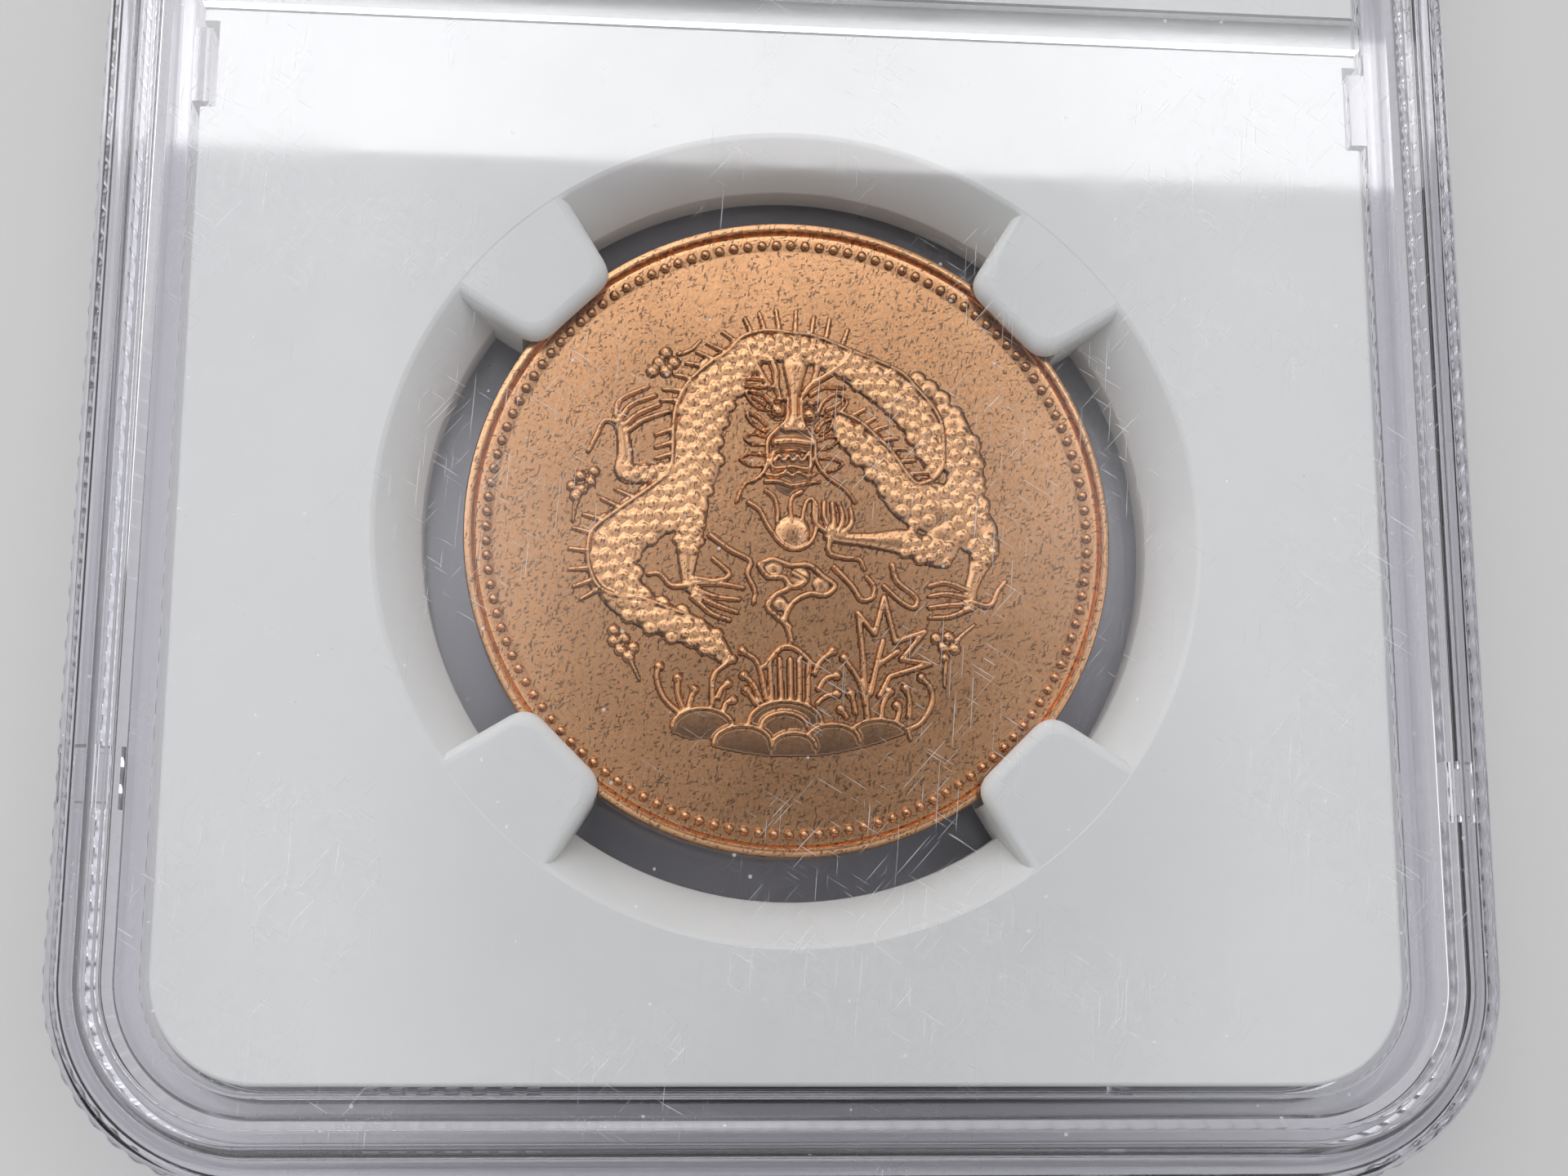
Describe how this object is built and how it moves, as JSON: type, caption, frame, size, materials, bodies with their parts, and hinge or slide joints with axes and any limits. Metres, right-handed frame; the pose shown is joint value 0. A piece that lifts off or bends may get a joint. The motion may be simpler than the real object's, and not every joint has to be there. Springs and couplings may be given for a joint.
{
  "type": "coin capsule",
  "caption": "Clear stackable slab with reeded edges that shuts round a white pronged core, a copper coin and label cards.",
  "frame": {"origin": "middle of the plane that the rear foot ridge rests on", "axes": "+X across the width, +Y along the length from the coin end to the label end, +Z out through the front window"},
  "size_m": [0.06, 0.0844, 0.008],
  "materials": {
    "clear_shell": "clear polystyrene, polished, with fine handling scratches",
    "white_core": "white moulded plastic with a satin face",
    "struck_copper": "struck copper with satin fields and fine dark flecks",
    "label_card": "printed card without lettering",
    "label_foil": "satin foil card without lettering"
  },
  "bodies": {
    "base": {"rear_shell": "clear_shell", "coin_insert": "white_core", "front_label": "label_card", "rear_label": "label_foil"},
    "front_shell": {"front_shell": "clear_shell"},
    "coin": {"coin": "struck_copper"}
  },
  "joints": [
    {"name": "front_shell_lift", "type": "slide", "parent": "base", "child": "front_shell", "axis": [0, 0, 1], "range_m": [0, 0.015]},
    {"name": "coin_turn", "type": "hinge", "parent": "base", "child": "coin", "pos_m": [0, -0.01475, 0.004], "axis": [0, 0, 1], "continuous": true}
  ]
}
